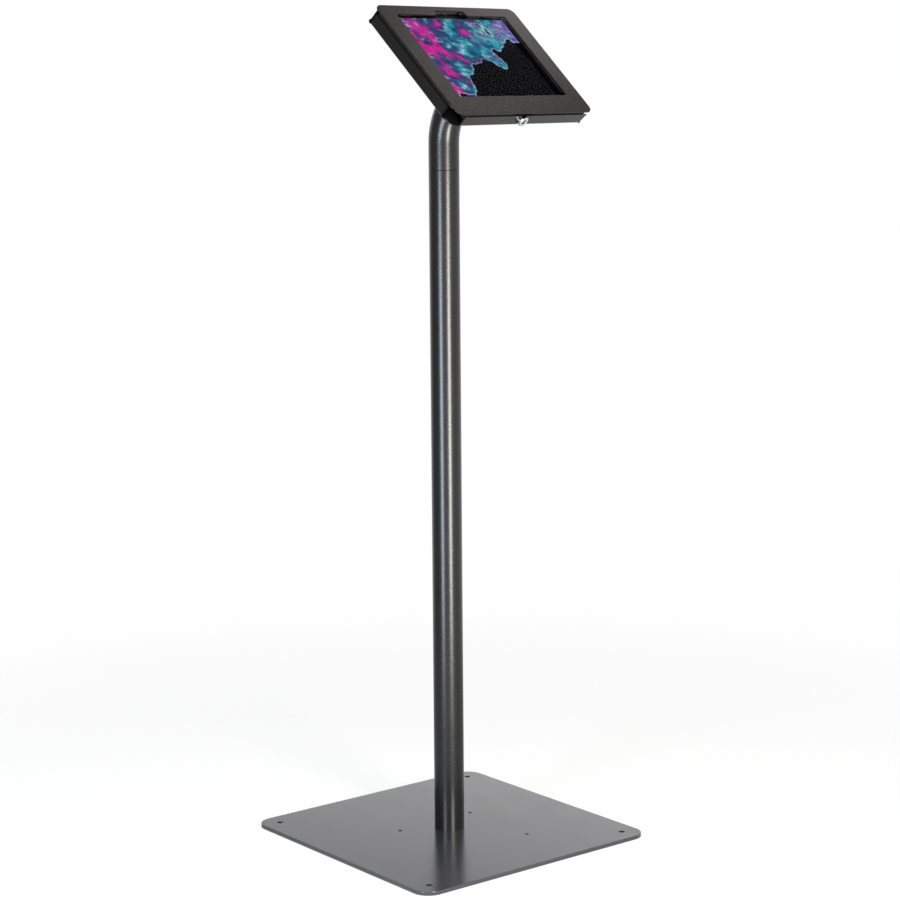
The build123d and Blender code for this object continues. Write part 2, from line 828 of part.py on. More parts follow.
def lip_section():
    """Section of the angle welded behind the cover, in a wall's frame."""
    outer = tray_sheet + lip_gap
    top = cover_back - floor_back
    bottom = top - lip_depth
    points = [
        (outer, bottom),
        (outer + lip_thickness, bottom),
        (outer + lip_thickness, top - lip_thickness),
        (outer + lip_foot, top - lip_thickness),
        (outer + lip_foot, top),
        (outer, top),
    ]
    return make_face(Polyline(*points, close=True))


def lip_along(name, start, end):
    plane, length = wall_frames()[name]
    lip = Pos(0, 0, start) * extrude(lip_section(), amount=end - start)
    return head_place * Location(plane) * lip


def make_cover_side_lips():
    frames = wall_frames()
    return group([lip_along(name, lip_end_gap, frames[name][1] - lip_end_gap) for name in ("left", "right")])


def make_cover_bottom_lips():
    """Two angles that leave the lock's nut and the keeper between them."""
    length = wall_frames()["bottom"][1]
    lock_along = -bottom_left
    clear = keeper_start() + keeper_width + lip_end_gap
    first = lip_along("bottom", lip_end_gap, lock_along - clear)
    second = lip_along("bottom", lock_along + clear, length - lip_end_gap)
    return group([first, second])


def keeper_start():
    """The keeper stands beside the lock's body."""
    return lock_body_radius + keeper_side_gap


def make_cover_keeper():
    """Bracket whose hook lies behind the cam when the lock is turned."""
    nut_end = tray_sheet + lock_washer_thickness + lock_nut_thickness
    leg_outer = -tray_height / 2 + nut_end + keeper_nut_gap
    leg_inner = leg_outer + keeper_sheet
    hook_front = lock_depth - cam_width / 2 - keeper_hook_play
    hook_back = hook_front - keeper_sheet
    columns = (keeper_start(), keeper_start() + keeper_width)
    foot = block(columns, (leg_outer, leg_outer + keeper_foot), (cover_back - keeper_sheet, cover_back))
    leg = block(columns, (leg_outer, leg_inner), (hook_back, cover_back))
    hook = block(columns, (leg_outer, leg_outer + keeper_hook_length), (hook_back, hook_front))
    return foot + leg + hook


def make_cover_foam():
    """Strips that press on the glass round the window."""
    depths = (cover_back - foam_thickness, cover_back)
    side_near = screen_width / 2 + foam_from_window
    side_columns = (side_near, side_near + foam_width)
    side_rows = (screen_bottom + foam_end_gap, screen_top - foam_end_gap)
    bottom_high = screen_bottom - foam_from_window
    half = screen_width / 2 - foam_end_gap
    top_low = screen_top + foam_from_window
    top_near = hinge_from_middle + hinge_length / 2 + foam_top_from_hinge
    top_columns = (top_near, top_near + foam_top_length)
    strips = [
        block(side_columns, side_rows, depths),
        block((-side_columns[1], -side_columns[0]), side_rows, depths),
        block((-half, half), (bottom_high - foam_width, bottom_high), depths),
        block(top_columns, (top_low, top_low + foam_width), depths),
        block((-top_columns[1], -top_columns[0]), (top_low, top_low + foam_width), depths),
    ]
    return group([head_place * strip for strip in strips])


nodes["cover_plate"] = head_place * make_cover_plate()
nodes["cover_side_lips"] = make_cover_side_lips()
nodes["cover_bottom_lips"] = make_cover_bottom_lips()
nodes["cover_keeper"] = head_place * make_cover_keeper()
nodes["cover_foam_strips"] = make_cover_foam()


# Hinges, drawn with X along the pin and placed left and right of the middle

knuckle_length = hinge_length / 3


def hinge_places():
    return [head_place * Pos(side * hinge_from_middle, hinge_height, hinge_depth) for side in (-1, 1)]


def along_x(radius, start, end):
    return Pos((start + end) / 2, 0, 0) * Rot(0, 90, 0) * Cylinder(radius, end - start)


def hinge_bore():
    return along_x(hinge_pin_radius + hinge_pin_play, -hinge_length, hinge_length)


def make_cover_leaf():
    middle = knuckle_length / 2 - knuckle_end_gap
    half = hinge_length / 2
    front = cover_back - hinge_depth
    back = front - hinge_leaf_thickness
    clear = knuckle_radius + knuckle_gap
    leaf = block((-half, half), (-hinge_cover_leaf_width, -clear), (back, front))
    leaf += block((-middle, middle), (-clear, 0), (back, front))
    leaf += along_x(knuckle_radius, -middle, middle)
    return leaf - hinge_bore()


def make_tray_leaf():
    inner = knuckle_length / 2
    half = hinge_length / 2
    rows = (-knuckle_radius, -knuckle_radius + hinge_leaf_thickness)
    clear = knuckle_radius + knuckle_gap
    leaf = block((-half, half), rows, (-hinge_tray_leaf_depth, -clear))
    for low, high in ((-half, -inner), (inner, half)):
        leaf += block((low, high), rows, (-clear, 0))
        leaf += along_x(knuckle_radius, low, high)
    return leaf - hinge_bore()


nodes["hinge_cover_leaves"] = group([place * make_cover_leaf() for place in hinge_places()])
nodes["hinge_tray_leaves"] = group([place * make_tray_leaf() for place in hinge_places()])
hinge_pin = along_x(hinge_pin_radius, -hinge_length / 2, hinge_length / 2)
nodes["hinge_pins"] = group([place * hinge_pin for place in hinge_places()])


# Cam lock

def make_lock_housing():
    head = disc(lock_head_radius, 0, lock_head_height)
    rim = head.edges().filter_by(GeomType.CIRCLE).sort_by(Axis.Z)[-1]
    housing = chamfer(rim, lock_head_bevel)
    housing += disc(lock_body_radius, -lock_body_length, 0)
    bore = disc(lock_plug_radius + lock_plug_fit, -lock_body_length - cut_overrun, lock_head_height + cut_overrun)
    return housing - bore


def make_lock_washer():
    back = -tray_sheet - lock_washer_thickness
    washer = disc(lock_washer_radius, back, -tray_sheet)
    return washer - disc(lock_body_radius + screw_fit, back - cut_overrun, cut_overrun)


def make_lock_nut():
    front = -tray_sheet - lock_washer_thickness
    back = front - lock_nut_thickness
    nut = hexagon(lock_nut_across_flats / 2, back, front)
    return nut - disc(lock_body_radius + screw_fit, back - cut_overrun, front + cut_overrun)


def cam_back():
    return -lock_body_length - cam_gap - cam_thickness


def make_lock_plug():
    """Key cylinder: round in the housing, square through the cam."""
    face = lock_head_height - lock_plug_recess
    plug = disc(lock_plug_radius, -lock_body_length - cam_gap, face)
    drive = Rectangle(lock_drive_side, lock_drive_side)
    plug += sheet(drive, cam_back(), -lock_body_length - cam_gap)
    slot = Rectangle(lock_key_slot_width, lock_key_slot_length)
    plug -= sheet(slot, face - lock_key_slot_depth, face + cut_overrun)
    plug -= disc(cam_screw_thread_radius + screw_fit, cam_back() - cut_overrun, -lock_body_length)
    return plug


def make_lock_cam():
    """Short bar that points towards the cover when the lock is open."""
    outline = Circle(cam_hub_radius)
    outline += Pos(0, cam_reach / 2) * Rectangle(cam_width, cam_reach)
    outline -= Rectangle(lock_drive_side + 2 * screw_fit, lock_drive_side + 2 * screw_fit)
    return sheet(outline, cam_back(), -lock_body_length - cam_gap)


def make_cam_screw():
    head = hexagon(cam_screw_radius, cam_back() - cam_screw_height, cam_back())
    return head + disc(cam_screw_thread_radius, cam_back(), -lock_body_length)


lock_place = head_place * lock_frame
nodes["lock_housing"] = lock_place * make_lock_housing()
nodes["lock_washer"] = lock_place * make_lock_washer()
nodes["lock_nut"] = lock_place * make_lock_nut()
nodes["lock_plug"] = lock_place * make_lock_plug()
nodes["lock_cam"] = lock_place * make_lock_cam()
nodes["cam_screw"] = lock_place * make_cam_screw()


# One file for each node

os.makedirs("parts", exist_ok=True)
for name, shape in nodes.items():
    export_step(shape, os.path.join("parts", name + ".step"))
    print(name, len(shape.solids()), round(shape.volume))
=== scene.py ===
# %% [markdown]
# # A kiosk stand for a tablet
#
# The stand is a heavy square plate, a round post with a bent neck, and a tilted steel
# enclosure that locks a tablet behind a window. Every solid piece is already modelled at its
# real size, so this lesson loads those pieces and gives them what a plain model lacks:
# powder coat, chrome, rubber, foam, glass and a lit screen, and a studio to stand in.

# %% Load the pieces
import bpy
import bmesh
import json
from math import cos, radians, sin, tau
from mathutils import Matrix, Vector


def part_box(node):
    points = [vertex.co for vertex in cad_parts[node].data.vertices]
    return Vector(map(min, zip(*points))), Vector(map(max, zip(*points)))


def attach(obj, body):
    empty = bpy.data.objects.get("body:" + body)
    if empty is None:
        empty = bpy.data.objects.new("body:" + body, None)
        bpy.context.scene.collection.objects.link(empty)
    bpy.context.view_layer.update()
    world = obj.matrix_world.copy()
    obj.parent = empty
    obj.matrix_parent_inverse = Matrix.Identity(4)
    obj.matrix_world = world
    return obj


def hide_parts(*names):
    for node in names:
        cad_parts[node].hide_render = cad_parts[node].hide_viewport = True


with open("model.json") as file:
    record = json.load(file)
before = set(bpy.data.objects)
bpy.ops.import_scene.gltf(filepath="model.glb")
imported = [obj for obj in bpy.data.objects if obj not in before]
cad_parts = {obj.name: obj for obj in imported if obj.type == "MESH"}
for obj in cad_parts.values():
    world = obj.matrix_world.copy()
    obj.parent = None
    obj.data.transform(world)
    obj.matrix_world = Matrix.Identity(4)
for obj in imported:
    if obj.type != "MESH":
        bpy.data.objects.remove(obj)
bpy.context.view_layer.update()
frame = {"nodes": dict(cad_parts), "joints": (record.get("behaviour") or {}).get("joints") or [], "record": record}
nodes = frame["nodes"]

# %% [markdown]
# ## The head's own directions
#
# The enclosure leans back, so heights on it run along a slope. Three unit vectors describe
# it: across the screen, up the slope, and straight out of the glass. The last one is the axis
# that the head swivels on, which the joints already hold, so nothing is typed twice.

# %% Directions and a ruler for pieces of the head
joints = {joint["name"]: joint for joint in frame["joints"]}
outward = Vector(joints["head_swivel"]["axis"]).normalized()
across = -Vector(joints["cover_hinge"]["axis"]).normalized()
up_slope = outward.cross(across)


def span(node, direction):
    """Lowest and highest reach of a piece along one direction, in metres."""
    reach = [vertex.co.dot(direction) for vertex in nodes[node].data.vertices]
    return min(reach), max(reach)


screen_across = span("display_panel", across)
screen_up = span("display_panel", up_slope)
screen_width = screen_across[1] - screen_across[0]
screen_height = screen_up[1] - screen_up[0]
print("lit screen, mm:", round(1000 * screen_width, 1), round(1000 * screen_height, 1))

# %% [markdown]
# ## Shader maths that reads like maths
#
# A material is a graph of nodes, but a formula is easier to read as `1 - wear * 0.3`. The
# small class below wraps one output of a node and overloads the operators, so that each
# operation adds its Math node. The reflected forms let a plain number stand on the left.

# %% A value in a material
class Value:
    """One output of a node that can be used in a formula."""

    def __init__(self, graph, socket):
        self.graph = graph
        self.socket = socket

    def math(self, operation, first, second):
        return self.graph.node("ShaderNodeMath", {"operation": operation}, {0: first, 1: second})

    def __add__(self, other):
        return self.math("ADD", self, other)

    def __radd__(self, other):
        return self.math("ADD", other, self)

    def __sub__(self, other):
        return self.math("SUBTRACT", self, other)

    def __rsub__(self, other):
        return self.math("SUBTRACT", other, self)

    def __mul__(self, other):
        return self.math("MULTIPLY", self, other)

    def __rmul__(self, other):
        return self.math("MULTIPLY", other, self)

    def __truediv__(self, other):
        return self.math("DIVIDE", self, other)


print("made:", Value.__doc__)

# %% [markdown]
# ## One way to place any node
#
# Materials and the room's light are both graphs of nodes. The `node` method places any node:
# first the settings that change what the node is, such as an operation or a ramp's stops,
# then the values or links of its sockets.

# %% A graph of nodes
class Graph:
    """A node tree that starts empty and whose nodes are placed one by one."""

    def __init__(self, tree):
        self.tree = tree
        self.tree.nodes.clear()

    def node(self, kind, settings=None, sockets=None, output=0):
        made = self.tree.nodes.new(kind)
        for key, value in (settings or {}).items():
            if key == "stops":
                fill_ramp(made.color_ramp, value)
            else:
                setattr(made, key, value)
        for key, value in (sockets or {}).items():
            if isinstance(value, Value):
                self.tree.links.new(value.socket, made.inputs[key])
            else:
                made.inputs[key].default_value = value
        return made if output is None else Value(self, made.outputs[output])

    def dot(self, first, second):
        """How alike two directions are, or how far a place lies along one."""
        sockets = {0: first, 1: second}
        return self.node("ShaderNodeVectorMath", {"operation": "DOT_PRODUCT"}, sockets, output="Value")


def fill_ramp(ramp, stops):
    """Gives a colour ramp its stops, each a position and a colour."""
    while len(ramp.elements) > 1:
        ramp.elements.remove(ramp.elements[-1])
    ramp.elements[0].position, ramp.elements[0].color = stops[0]
    for position, tint in stops[1:]:
        ramp.elements.new(position).color = tint


print("made:", Graph.__doc__)

# %% [markdown]
# ## The workbench of a finish
#
# A finish is a material with its own graph. Its methods are patterns that most finishes
# share: a place on the piece in metres, noise of a given grain, a mix of two colours, a bump
# from a height, and a mask of the sharp edges, where a coat of paint is thinner and rubs
# bright, and where a painted highlight along the edge goes.

# %% The workbench
class Finish(Graph):
    """A material that starts with a place on the piece and ends with a surface."""

    def __init__(self, name):
        self.material = bpy.data.materials.new(name)
        self.material.use_nodes = True
        super().__init__(self.material.node_tree)
        self.place = self.node("ShaderNodeTexCoord", output="Object")

    def noise(self, grain, detail=2.0, place=None, roughness=0.5):
        """Noise from 0 to 1 whose lumps are about as wide as the grain, in metres."""
        sockets = {"Vector": place or self.place, "Scale": 1 / grain}
        sockets.update({"Detail": detail, "Roughness": roughness})
        return self.node("ShaderNodeTexNoise", {}, sockets, output="Fac")

    def stretch(self, scale):
        """The place with each direction scaled, which turns noise into streaks."""
        sockets = {0: self.place, 1: scale}
        return self.node("ShaderNodeVectorMath", {"operation": "MULTIPLY"}, sockets, output="Vector")

    def along(self, direction):
        """How far the place lies along a direction, in metres."""
        return self.dot(self.place, direction)

    def ease(self, value, low, high):
        """Smooth step from 0 to 1."""
        settings = {"interpolation_type": "SMOOTHSTEP"}
        return self.node("ShaderNodeMapRange", settings, {0: value, 1: low, 2: high})

    def mix(self, factor, first, second):
        settings = {"data_type": "RGBA"}
        return self.node("ShaderNodeMix", settings, {0: factor, 6: first, 7: second}, output=2)

    def bump(self, height, depth):
        return self.node("ShaderNodeBump", {}, {"Height": height, "Distance": depth}, output="Normal")

    def edges(self, radius):
        """Mask that is 1 on sharp edges: there the rounded normal leaves the flat one."""
        round_normal = self.node("ShaderNodeBevel", {"samples": 6}, {"Radius": radius}, output="Normal")
        flat_normal = self.node("ShaderNodeNewGeometry", output="Normal")
        return self.ease(1 - self.dot(round_normal, flat_normal), 0.02, 0.25)

    def surface(self, constants, varying):
        """Principled surface: plain numbers on its own sockets, then what changes over the piece."""
        shader = self.node("ShaderNodeBsdfPrincipled", {}, {**constants, **varying})
        return self.end_with(shader)

    def end_with(self, shader):
        self.node("ShaderNodeOutputMaterial", {}, {"Surface": shader}, output=None)
        return self.material


def colour(red, green, blue):
    """Colour as read from a screen, 0 to 255, turned into the light that a shader works with."""
    parts = [part / 255 for part in (red, green, blue)]
    light = [part / 12.92 if part < 0.04045 else ((part + 0.055) / 1.055) ** 2.4 for part in parts]
    return (*light, 1.0)


finishes = {}
print("charcoal as light:", [round(part, 3) for part in colour(70, 67, 65)])

# %% [markdown]
# ## Powder coat
#
# Every painted piece is steel with a baked powder coat. Close up it is never flat: the powder
# melts into a fine leather of bumps less than a millimetre wide, the sheen drifts a little
# from place to place, and sharp edges are paler: partly the thinner coat there, partly a
# painted highlight along the edges. One recipe covers them all; the cover, tray, post and
# base differ in colour, sheen and grain.

# %% Powder coat on the steel
cloud_width = 0.06
pale_edge_width = 0.0006


def powder_coat(name, tint, sheen, grain, depth, speck_and_edge_highlight_tint, gloss, shine=(1, 1, 1, 1)):
    """Baked powder: sheen is its roughness, and grain and depth measure its leather."""
    finish = Finish(name)
    leather = finish.noise(grain, 3.0) * 0.7 + finish.noise(grain * 2.7, 1.0) * 0.3
    drift = finish.noise(cloud_width)
    speck = finish.ease(finish.noise(grain * 0.8, 1.0), 0.62, 0.78)
    dark = tuple(part * 0.86 for part in tint[:3]) + (1.0,)
    pale = tuple(part * 1.14 for part in tint[:3]) + (1.0,)
    body = finish.mix(drift * 0.6 + leather * 0.4, dark, pale)
    body = finish.mix(speck * 0.25, body, speck_and_edge_highlight_tint)
    # Sharp edges go paler: partly a thinner coat, partly a painted highlight along the edges.
    body = finish.mix(finish.edges(pale_edge_width) * 0.5, body, speck_and_edge_highlight_tint)
    rough = sheen + (drift - 0.5) * 0.08 + (leather - 0.5) * 0.1
    constants = {"Specular IOR Level": gloss, "Specular Tint": shine}
    varying = {"Base Color": body, "Roughness": rough, "Normal": finish.bump(leather, depth)}
    return finish.surface(constants, varying)


finishes["powder_coat_cover"] = powder_coat(
    "charcoal_powder_coat",
    tint=colour(26, 23, 22),
    sheen=0.44,
    grain=0.0009,
    depth=0.00005,
    speck_and_edge_highlight_tint=colour(68, 62, 60),
    gloss=0.12,
)
finishes["powder_coat_tray"] = powder_coat(
    "black_powder_coat",
    tint=colour(14, 13, 13),
    sheen=0.3,
    grain=0.0009,
    depth=0.00005,
    speck_and_edge_highlight_tint=colour(46, 43, 42),
    gloss=0.27,
)
finishes["powder_coat_post"] = powder_coat(
    "satin_black_powder_coat",
    tint=colour(14, 14, 15),
    sheen=0.27,
    grain=0.0007,
    depth=0.00001,
    speck_and_edge_highlight_tint=colour(48, 48, 50),
    gloss=0.34,
)
finishes["powder_coat_base"] = powder_coat(
    "fine_black_powder_coat",
    tint=colour(38, 38, 40),
    sheen=0.22,
    grain=0.0007,
    depth=0.00001,
    speck_and_edge_highlight_tint=colour(120, 120, 124),
    gloss=1.0,
    shine=(0.93, 0.94, 1.0, 1.0),
)
print("powder coats:", sorted(finishes))

# %% [markdown]
# ## Bare and plated metal
#
# Plated screws, turned pins and chrome have no colour of their own: they show the room. What
# tells them apart is how evenly they do it. Turning and drawing leave fine rings or lines,
# zinc plating has a cloudy bloom, and chrome only has a few hairline scratches. So the recipe
# mixes streaks and clouds into the roughness and a very shallow bump.

# %% Metals
tool_mark = 0.0006
mark_depth = 0.00001
plating_cloud = 0.004
worn_edge = 0.0004
coats = len(finishes)


def bare_metal(name, tint, rough, streak, cloud, lines=(1, 1, 12)):
    """Metal that shows the room: lines says which way the tool's marks are drawn out."""
    finish = Finish(name)
    streaks = finish.noise(tool_mark, 2.0, finish.stretch(lines))
    clouds = finish.noise(plating_cloud, 3.0)
    dull = tuple(part * 0.8 for part in tint[:3]) + (1.0,)
    body = finish.mix(clouds * cloud + finish.edges(worn_edge) * 0.3, tint, dull)
    roughness = rough + (streaks - 0.5) * streak + (clouds - 0.5) * cloud * 0.3
    varying = {"Base Color": body, "Roughness": roughness, "Normal": finish.bump(streaks, mark_depth)}
    return finish.surface({"Metallic": 1.0}, varying)


plated = {"rough": 0.36, "streak": 0.15, "cloud": 0.5}
turned = {"rough": 0.28, "streak": 0.25, "cloud": 0.3}
oxidised = {"rough": 0.36, "streak": 0.15, "cloud": 0.4}
rolled = {"rough": 0.25, "streak": 0.2, "cloud": 0.2}
drawn = {"rough": 0.22, "streak": 0.2, "cloud": 0.1, "lines": (12, 1, 1)}
polished = {"rough": 0.07, "streak": 0.04, "cloud": 0.06}
brushed = {"rough": 0.17, "streak": 0.08, "cloud": 0.1}
finishes["zinc_steel"] = bare_metal("zinc_plate", colour(158, 158, 153), **plated)
finishes["bare_steel"] = bare_metal("turned_steel", colour(165, 164, 160), **turned)
finishes["black_oxide"] = bare_metal("black_oxide_steel", colour(52, 52, 54), **oxidised)
finishes["spring_steel"] = bare_metal("spring_steel", colour(118, 120, 124), **rolled)
finishes["hinge_pin_steel"] = bare_metal("drawn_wire", colour(190, 190, 190), **drawn)
finishes["lock_chrome"] = bare_metal("chrome_plate", colour(200, 201, 204), **polished)
finishes["lock_plug_chrome"] = bare_metal("satin_chrome", colour(128, 129, 132), **brushed)
print("metals added:", len(finishes) - coats)

# %% [markdown]
# ## Rubber, foam and nylon
#
# The floor pads and blanking plugs are moulded rubber with a faint matt bloom. The strips
# and blocks round the tablet are closed-cell foam: a Voronoi pattern gives its skin of small
# bubbles. The friction washers are natural nylon, slightly waxy and cream coloured.

# %% Soft and moulded pieces
bloom_width = 0.012
grit_width = 0.0005
grit_depth = 0.00004
bubble_width = 0.0011
bubble_depth = 0.00025
nylon_cloud = 0.006


def rubber(name, tint):
    finish = Finish(name)
    bloom = finish.noise(bloom_width, 3.0)
    grit = finish.noise(grit_width)
    body = finish.mix(bloom, tint, colour(52, 52, 53))
    varying = {"Base Color": body, "Roughness": 0.72 + bloom * 0.16}
    varying["Normal"] = finish.bump(grit, grit_depth)
    return finish.surface({"Specular IOR Level": 0.35}, varying)


def foam(name, tint):
    finish = Finish(name)
    sockets = {"Vector": finish.place, "Scale": 1 / bubble_width}
    bubbles = finish.node("ShaderNodeTexVoronoi", {"feature": "F1"}, sockets, output="Distance")
    # The bubbles' pits are painted darker: painted shade in the hollows of the foam's skin.
    body = finish.mix(finish.ease(bubbles, 0.1, 0.6), colour(18, 18, 19), tint)
    varying = {"Base Color": body, "Roughness": 0.82 + bubbles * 0.12}
    varying["Normal"] = finish.bump(bubbles, bubble_depth)
    return finish.surface({"Specular IOR Level": 0.2}, varying)


def nylon(name, tint):
    finish = Finish(name)
    cloud = finish.noise(nylon_cloud)
    body = finish.mix(cloud, tint, colour(206, 200, 184))
    varying = {"Base Color": body, "Roughness": 0.38 + cloud * 0.14}
    return finish.surface({"Subsurface Weight": 0.1, "Subsurface Scale": 0.002}, varying)


finishes["rubber_black"] = rubber("matt_rubber", colour(34, 34, 35))
finishes["foam"] = foam("closed_cell_foam", colour(48, 48, 50))
finishes["friction_plastic"] = nylon("natural_nylon", colour(224, 219, 204))
print("finishes so far:", len(finishes))

# %% [markdown]
# ## The tablet's shell, border and lens
#
# The back shell is blasted aluminium: a matt, slightly sparkling silver. The border round
# the screen is black ink printed behind the glass, so it is dark and even. The lens is a
# dark disc with a lighter ring, drawn from the distance to the lens's own middle.

# %% Tablet finishes
blast_grain = 0.00025
blast_depth = 0.00001
haze_width = 0.03
ink_grain = 0.0008
polished_edge = 0.0003


def blasted_aluminium(name, tint):
    finish = Finish(name)
    sparkle = finish.noise(blast_grain, 1.0)
    haze = finish.noise(haze_width)
    body = finish.mix(sparkle * 0.5 + haze * 0.3, tint, colour(168, 170, 174))
    roughness = 0.36 + (sparkle - 0.5) * 0.2 - finish.edges(polished_edge) * 0.1
    varying = {"Base Color": body, "Roughness": roughness, "Normal": finish.bump(sparkle, blast_depth)}
    return finish.surface({"Metallic": 0.85}, varying)


def printed_border(name):
    finish = Finish(name)
    print_grain = finish.noise(ink_grain, 1.0)
    body = finish.mix(print_grain, colour(9, 9, 10), colour(14, 14, 16))
    varying = {"Base Color": body, "Roughness": 0.3 + print_grain * 0.1}
    return finish.surface({"Specular IOR Level": 0.3}, varying)


def lens_glass(name, centre, radius):
    finish = Finish(name)
    sockets = {0: finish.place, 1: centre}
    reach = finish.node("ShaderNodeVectorMath", {"operation": "DISTANCE"}, sockets, output="Value")
    share = reach / radius
    stops = [
        (0.0, colour(4, 5, 10)),
        # The blue ring is a painted reflection in the lens's coating.
        (0.3, colour(28, 34, 66)),
        (0.42, colour(6, 6, 9)),
        (0.62, colour(20, 20, 24)),
        (0.8, colour(96, 98, 104)),
        (0.95, colour(12, 12, 13)),
    ]
    rings = finish.node("ShaderNodeValToRGB", {"stops": stops}, {"Fac": share}, output="Color")
    varying = {"Base Color": rings, "Roughness": 0.08 + share * 0.2}
    return finish.surface({"Coat Weight": 1.0, "Coat Roughness": 0.03}, varying)


lens_low, lens_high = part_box("camera_lens")
lens_centre = (lens_low + lens_high) / 2
lens_radius = (lens_high.x - lens_low.x) / 2
finishes["tablet_aluminium"] = blasted_aluminium("blasted_aluminium", colour(205, 207, 211))
finishes["tablet_button"] = blasted_aluminium("button_aluminium", colour(196, 198, 203))
finishes["screen_black"] = printed_border("printed_border")
finishes["lens"] = lens_glass("camera_lens_glass", lens_centre, lens_radius)
print("lens radius, mm:", round(1000 * lens_radius, 2))

# %% [markdown]
# ## The picture on the screen
#
# The screen is lit, so its picture is light, not paint: it goes into Emission Color. The
# picture is a made-up one: billows of magenta, violet and teal smoke in front of black. A
# slope over the screen, bent by broad noise, says where there is smoke. Round cells taken
# away from it make the lobes along its edge, and a thin band inside the edge is paler, as
# backlit smoke is. A second slope picks the hue, and fine stretched noise draws the wisps.
# Places are shares of the screen's own width and height.

# %% The lit screen
billow_width = 0.09
curl_width = 0.03
wisp_width = 0.018
large_lobe = 0.032
small_lobe = 0.012


def lit_screen(name):
    finish = Finish(name)
    share_x = (finish.along(across) - screen_across[0]) / screen_width
    share_y = (finish.along(up_slope) - screen_up[0]) / screen_height
    sway = finish.noise(billow_width) - 0.5
    curl = finish.noise(curl_width, 3.0) - 0.5

    def lobes(size):
        sockets = {"Vector": finish.place, "Scale": 1 / size, "Smoothness": 0.6}
        return finish.node("ShaderNodeTexVoronoi", {"feature": "SMOOTH_F1"}, sockets, output="Distance")

    wisps = finish.noise(wisp_width, 6.0, finish.stretch((1.0, 2.2, 2.2)), roughness=0.6)
    edge = lobes(large_lobe) * 0.24 + lobes(small_lobe) * 0.12 - curl * 0.16
    depth = share_y * 0.95 - share_x * 0.8 + 0.2 + sway * 1.5 - edge
    hue = 0.3 + share_x * 0.75 + sway * 0.9 + curl * 1.5 - edge * 0.4
    stops = [
        (0.0, colour(150, 8, 104)),
        (0.2, colour(214, 36, 148)),
        (0.34, colour(120, 44, 128)),
        (0.46, colour(38, 62, 104)),
        (0.6, colour(20, 104, 134)),
        (0.74, colour(58, 158, 170)),
        (0.88, colour(36, 96, 130)),
        (1.0, colour(112, 92, 160)),
    ]
    smoke = finish.node("ShaderNodeValToRGB", {"stops": stops}, {"Fac": hue}, output="Color")
    pale = finish.mix(hue, colour(252, 176, 220), colour(170, 232, 234))
    smoke = finish.mix(finish.ease(wisps, 0.46, 0.3) * 0.65, smoke, colour(16, 22, 50))
    rim = finish.ease(depth, 0.06, 0.012)
    lit = finish.ease(wisps + curl * 0.5, 0.54, 0.78) * 0.75 + rim * 0.4
    smoke = finish.mix(lit, smoke, pale)
    picture = finish.mix(finish.ease(depth, 0.0, 0.02), colour(2, 2, 3), smoke)
    unlit = finish.mix(sway, colour(4, 4, 5), colour(7, 7, 8))
    constants = {"Roughness": 0.4, "IOR": 1.01, "Emission Strength": 1.0}
    return finish.surface(constants, {"Emission Color": picture, "Base Color": unlit})


finishes["display"] = lit_screen("lit_screen")
print("screen picture covers", round(screen_width * screen_height * 1e4), "square centimetres")

# %% [markdown]
# ## Cover glass
#
# Cover glass is clear from straight on and mirrors the room at a glance. A mix of a
# transparent and a glossy shader does that: Fresnel sets how much is mirrored, and only the
# outer side of the glass mirrors at all.

# %% Clear glass over the screen
smear_width = 0.05


def cover_glass(name):
    finish = Finish(name)
    smear = finish.noise(smear_width, 3.0)
    clear = finish.node("ShaderNodeBsdfTransparent", {}, {"Color": (0.97, 0.98, 1.0, 1.0)})
    mirror = finish.node("ShaderNodeBsdfGlossy", {}, {"Roughness": 0.06})
    fresnel = finish.node("ShaderNodeFresnel", {}, {"IOR": 1.42})
    behind = finish.node("ShaderNodeNewGeometry", output="Backfacing")
    share = fresnel * (1 - behind) * (0.1 + smear * 0.05)
    shader = finish.node("ShaderNodeMixShader", {}, {0: share, 1: clear, 2: mirror})
    return finish.end_with(shader)


finishes["screen_glass"] = cover_glass("cover_glass")
print("all finishes:", len(finishes))

# %% [markdown]
# ## Dressing the pieces
#
# The record says which finish each piece takes. The loaded solids keep their shape and only
# swap the plain material that came with them. Their flat faces stay flat and their round
# ones are shaded smoothly, which the loaded normals already take care of.

# %% Give each piece its finish
slot_of = {entry["node"]: entry["material_slot"] for entry in frame["record"]["subparts"]}
for name, piece in nodes.items():
    piece.data.materials.clear()
    piece.data.materials.append(finishes[slot_of[name]])
print("dressed:", len(slot_of), "missing:", sorted(set(slot_of.values()) - set(finishes)))

# %% [markdown]
# ## A hair of air behind the glass
#
# The solid glass lies face to face on the screen, and two faces in one place confuse a ray of
# light. This copy of the glass has its back moved 0.05 mm towards the front and takes the
# place of the solid one.

# %% The glass, lifted off the picture
hair = 0.00005


def new_piece(name, mesh, body, slot):
    """Piece of the dressed stand that rides a body and takes one finish."""
    piece = bpy.data.objects.new(name, mesh)
    bpy.context.scene.collection.objects.link(piece)
    mesh.materials.clear()
    mesh.materials.append(finishes[slot])
    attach(piece, body)
    return piece


glass_mesh = nodes["tablet_glass"].data.copy()
glass_back = span("tablet_glass", outward)[0]
for vertex in glass_mesh.vertices:
    if vertex.co.dot(outward) < glass_back + hair:
        vertex.co += outward * hair
lifted_glass = new_piece("lifted_glass", glass_mesh, "head", "screen_glass")
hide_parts("tablet_glass")
print("glass points moved forward by", 1000 * hair, "mm")

# %% [markdown]
# ## A seal above the camera notch
#
# Between the two hinges the cover would show daylight through its camera notch. A short foam
# strip on the cover's back closes that view. It is a box with eased edges, placed along the
# head's own directions from the cover plate's middle and top edge and the foam strips' depth.

# %% The foam seal
flat_angle = 0.01
seal_length = 0.047
seal_height = 0.004
seal_below_edge = 0.0042
seal_soft_edge = 0.0004


def head_point(across_at, up_at, out_at):
    """Point from its reaches along the head's three directions."""
    return across * across_at + up_slope * up_at + outward * out_at


